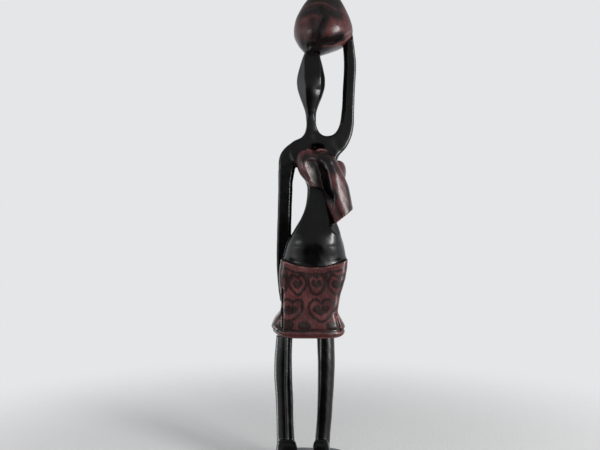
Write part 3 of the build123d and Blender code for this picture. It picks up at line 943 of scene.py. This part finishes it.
def ebonised(name):
    """Black-dyed, waxed hardwood: near black, brown where edges are rubbed, faint pores up the grain."""
    material, nodes, links, shader = graph(name)
    grain = noise(nodes, links, 900.0, 4.0, GRAIN)
    cloud = noise(nodes, links, 60.0, 3.0)
    tones = [(0.3, (0.0003, 0.0003, 0.0003)), (0.75, (0.0009, 0.0008, 0.0008))]
    colour = ramp(nodes, links, cloud, tones)
    streak = ramp(nodes, links, grain, [(0.5, (0.0,)), (0.85, (0.45,))])
    colour = mix(nodes, links, streak, colour, (0.0024, 0.0019, 0.0018))
    edges = rescale(nodes, links, stored(nodes, "wear"), 0.5, 1.6)
    rubbed = combine(nodes, links, "MULTIPLY", edges, cloud)
    links.new(mix(nodes, links, rubbed, colour, (0.018, 0.012, 0.011)), shader.inputs["Base Color"])
    smear = noise(nodes, links, 140.0, 5.0, (1.0, 1.0, 0.4))
    links.new(ramp(nodes, links, smear, [(0.3, (0.20,)), (0.75, (0.30,))]), shader.inputs["Roughness"])
    # the pit's reflection is taken away: painted shade
    links.new(polish_cut_for_painted_shade(nodes, links), shader.inputs["Specular IOR Level"])
    bump(nodes, links, [(cloud, 0.16), (grain, 0.015)], shader)
    return material


def stained(name):
    """Red-brown stain rubbed thin on edges, blackened in places, darkened by painted shade in its hollows
    and creases, with black ink lines under the wax.
    """
    material, nodes, links, shader = graph(name)
    grain = noise(nodes, links, 900.0, 4.0, GRAIN)
    cloud = noise(nodes, links, 90.0, 4.0)
    fine = noise(nodes, links, 500.0, 3.0, (1.0, 1.0, 0.3))
    tones = [
        (0.28, (0.024, 0.0066, 0.0072)),
        (0.5, (0.044, 0.0116, 0.0122)),
        (0.74, (0.072, 0.0205, 0.0205)),
    ]
    colour = ramp(nodes, links, cloud, tones)
    streak = ramp(nodes, links, grain, [(0.45, (0.0,)), (0.85, (0.5,))])
    colour = mix(nodes, links, streak, colour, (0.092, 0.030, 0.029))
    rubbed = rescale(nodes, links, stored(nodes, "wear"), 0.3, 1.2, 0.0, 0.6)
    colour = mix(nodes, links, rubbed, colour, (0.26, 0.115, 0.100))
    # darker where stained black, and where shade is painted into hollows, creases and under the gourd
    stain_and_painted_shade = combine(nodes, links, "MULTIPLY_ADD", cloud, 0.9, stored(nodes, "shade"))
    colour = mix(nodes, links, rescale(nodes, links, stain_and_painted_shade, 0.62, 1.3), colour, (0.0050, 0.0036, 0.0038))
    # ink lines, some of which are painted shade in creases and under the gourd's base
    wobble = combine(nodes, links, "MULTIPLY_ADD", fine, 1.1, stored(nodes, "ink"))
    inked = rescale(nodes, links, wobble, 0.35, 0.85, 0.9, 0.0)
    links.new(mix(nodes, links, inked, colour, (0.0085, 0.0052, 0.0054)), shader.inputs["Base Color"])
    links.new(ramp(nodes, links, fine, [(0.3, (0.22,)), (0.75, (0.36,))]), shader.inputs["Roughness"])
    links.new(polish_cut_for_painted_shade(nodes, links), shader.inputs["Specular IOR Level"])
    bump(nodes, links, [(cloud, 0.12), (grain, 0.02), (fine, 0.03)], shader)
    return material


def bare_wood(name):
    """The plain turned wood of the pegs."""
    material, nodes, links, shader = graph(name)
    grain = noise(nodes, links, 1200.0, 4.0, GRAIN)
    tones = [(0.3, (0.30, 0.19, 0.10)), (0.7, (0.52, 0.36, 0.21))]
    links.new(ramp(nodes, links, grain, tones), shader.inputs["Base Color"])
    shader.inputs["Roughness"].default_value = 0.55
    bump(nodes, links, [(grain, 0.05)], shader)
    return material


# ---- the pieces --------------------------------------------------------------------------------------
black = ebonised("ebonised_wood")
red = stained("stained_wood")
plain = bare_wood("peg_wood")

body, body_points = carve("carved_body", body_field, "body")
skirt, skirt_points = carve("carved_skirt", skirt_field, "skirt")
right_leg_field = leg_field(RIGHT_SHANK, RIGHT_FOOT, RIGHT_SHIN, -1.0, -2.1)
left_leg_field = leg_field(LEFT_SHANK, LEFT_FOOT, LEFT_SHIN, 1.0, -1.0)
right_leg, _ = carve("carved_right_leg", right_leg_field, "right_leg")
left_leg, _ = carve("carved_left_leg", left_leg_field, "left_leg")
shawl, shawl_points = carve("carved_shawl", shawl_field, "shawl")
gourd, gourd_points = carve("carved_gourd", gourd_field, "head_gourd")
plinth, _ = carve("carved_plinth", plinth_field, "plinth")

paint(body, "shade", pit_painted_shade(body_points))
paint(skirt, "shade", skirt_stain_and_painted_shade(skirt_points))
paint(skirt, "ink", skirt_ink_and_shade_line(skirt_points))
paint(shawl, "shade", shawl_stain_and_painted_shade(shawl_points))
paint(shawl, "ink", shawl_ink(shawl_points))
paint(gourd, "shade", gourd_stain_and_painted_shade(gourd_points))
paint(gourd, "ink", gourd_ink_and_shade_lines(gourd_points))

for piece in (body, right_leg, left_leg, plinth):
    piece.data.materials.append(black)
for piece in (skirt, shawl, gourd):
    piece.data.materials.append(red)
for node in ("foot_pegs", "leg_pegs", "waist_peg", "shawl_pegs", "crown_peg", "hand_peg"):
    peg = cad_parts[node].data
    peg.materials.clear()
    peg.materials.append(plain)


# ---- floor, light and camera ----------------------------------------------------------------------------
def pale_floor():
    """A pale sheet that fades out round the figure into the pale background."""
    mesh = bpy.data.meshes.new("floor")
    half = 1.5
    corners = [(-half, -half, 0), (half, -half, 0), (half, half, 0), (-half, half, 0)]
    mesh.from_pydata(corners, [], [(0, 1, 2, 3)])
    floor = bpy.data.objects.new("floor", mesh)
    bpy.context.scene.collection.objects.link(floor)
    material, nodes, links, shader = graph("pale_floor")
    speck = noise(nodes, links, 400.0, 4.0)
    links.new(ramp(nodes, links, speck, [(0.3, (0.84,)), (0.7, (0.88,))]), shader.inputs["Base Color"])
    shader.inputs["Roughness"].default_value = 0.9
    shader.inputs["Specular IOR Level"].default_value = 0.1
    bump(nodes, links, [(speck, 0.3)], shader)
    where = nodes.new("ShaderNodeTexCoord")
    far = nodes.new("ShaderNodeVectorMath")
    far.operation = "LENGTH"
    links.new(where.outputs["Object"], far.inputs[0])
    fade = rescale(nodes, links, far.outputs["Value"], 0.12, 0.5, 1.0, 0.0)
    fade.node.interpolation_type = "SMOOTHSTEP"
    links.new(fade, shader.inputs["Alpha"])
    mesh.materials.append(material)
    floor.visible_glossy = False


def soft_world():
    """Pale all round to the eye. As light, it is bright beside and behind her and dim in front."""
    world = bpy.data.worlds.new("studio")
    bpy.context.scene.world = world
    world.use_nodes = True
    nodes, links = world.node_tree.nodes, world.node_tree.links
    nodes.clear()
    output = nodes.new("ShaderNodeOutputWorld")
    light = nodes.new("ShaderNodeBackground")
    where = nodes.new("ShaderNodeTexCoord")
    parts = nodes.new("ShaderNodeSeparateXYZ")
    links.new(where.outputs["Generated"], parts.inputs[0])
    left_side = rescale(nodes, links, parts.outputs["X"], 0.14, 0.6, 0.0, 0.9)
    right_side = rescale(nodes, links, parts.outputs["X"], -0.45, -0.97)
    behind = rescale(nodes, links, parts.outputs["Y"], -0.2, 0.4)
    bright = combine(nodes, links, "MAXIMUM", left_side, right_side)
    bright = combine(nodes, links, "MAXIMUM", bright, behind)
    height = combine(nodes, links, "ABSOLUTE", parts.outputs["Z"])
    level = rescale(nodes, links, height, 0.12, 0.6, 1.0, 0.1)
    bright = combine(nodes, links, "MULTIPLY", bright, level)
    links.new(rescale(nodes, links, bright, 0.0, 1.0, 0.25, 0.9), light.inputs["Strength"])
    light.inputs["Color"].default_value = PALE_LIGHT
    shown = nodes.new("ShaderNodeBackground")
    shown.inputs["Color"].default_value = (0.785, 0.79, 0.80, 1)
    path = nodes.new("ShaderNodeLightPath")
    pick = nodes.new("ShaderNodeMixShader")
    links.new(path.outputs["Is Camera Ray"], pick.inputs[0])
    links.new(light.outputs[0], pick.inputs[1])
    links.new(shown.outputs[0], pick.inputs[2])
    links.new(pick.outputs[0], output.inputs[0])


def card(name, corners, strength):
    """A card that only the polish sees, black or giving light."""
    mesh = bpy.data.meshes.new(name)
    mesh.from_pydata(corners, [], [tuple(range(len(corners)))])
    sheet = bpy.data.objects.new(name, mesh)
    bpy.context.scene.collection.objects.link(sheet)
    material, _, _, shader = graph(name)
    shader.inputs["Base Color"].default_value = (0.0, 0.0, 0.0, 1)
    shader.inputs["Specular IOR Level"].default_value = 0.0
    shader.inputs["Emission Color"].default_value = PALE_LIGHT
    shader.inputs["Emission Strength"].default_value = strength
    mesh.materials.append(material)
    sheet.visible_camera = False
    sheet.visible_diffuse = False
    sheet.visible_shadow = False


def dark_card():
    """A black card in front, below the eye, wider towards her right: it gives the wood its depth."""
    away = -0.75
    # half width and height, down the card
    sides = [(0.05, 0.17), (0.16, 0.08), (0.27, -0.02), (0.38, -0.15), (0.6, -0.5), (0.9, -1.2)]
    ring = [(-1.2 * x, away, z) for x, z in sides] + [(0.7 * x, away, z) for x, z in reversed(sides)]
    card("dark_card", ring, 0.0)


def leg_card():
    """A lit card behind her right leg, which shows as the light line down the outside of it."""
    near, far, away, low, high = -0.10, -0.23, 0.036, -0.05, 0.1
    card("leg_card", [(near, away, low), (far, away, low), (far, away, high), (near, away, high)], 7.0)


def panel(name, place, aim, size, power):
    """A soft box at a place, turned towards a point."""
    lamp = bpy.data.lights.new(name, "AREA")
    lamp.shape = "RECTANGLE"
    lamp.size, lamp.size_y = size
    lamp.energy = power
    lamp.color = (1.0, 0.99, 0.97)
    holder = bpy.data.objects.new(name, lamp)
    holder.location = place
    holder.rotation_euler = (Vector(aim) - Vector(place)).to_track_quat("-Z", "Y").to_euler()
    bpy.context.scene.collection.objects.link(holder)
    return holder


pale_floor()
soft_world()
dark_card()
leg_card()
# the lamps, left and right as the camera sees them
middle = (0.0, 0.0, 0.5 * cad_box[1][2])
panel("left_box", (-0.9, -0.66, 0.15), middle, (0.6, 0.2), 1.3)
panel("right_box", (0.9, -0.8, 0.24), middle, (0.9, 0.8), 3.4)
panel("right_lamp", (0.75, -0.72, 0.34), middle, (0.26, 0.8), 9.2)
fill = panel("front_fill", (0.0, -1.3, 0.35), middle, (1.2, 0.8), 9.0)
fill.visible_glossy = False

EYE = (-0.0066, -0.55, 0.205)
FRAME_WIDTH = 0.492  # width of what the camera sees at the figure
camera = bpy.data.cameras.new("camera")
camera.sensor_width = 36.0
camera.lens = camera.sensor_width * -EYE[1] / FRAME_WIDTH
camera.clip_start = 0.01
eye = bpy.data.objects.new("camera", camera)
eye.location = EYE
eye.rotation_euler = (math.radians(90), 0, 0)
bpy.context.scene.collection.objects.link(eye)
bpy.context.scene.camera = eye
bpy.context.scene.view_settings.view_transform = "Standard"
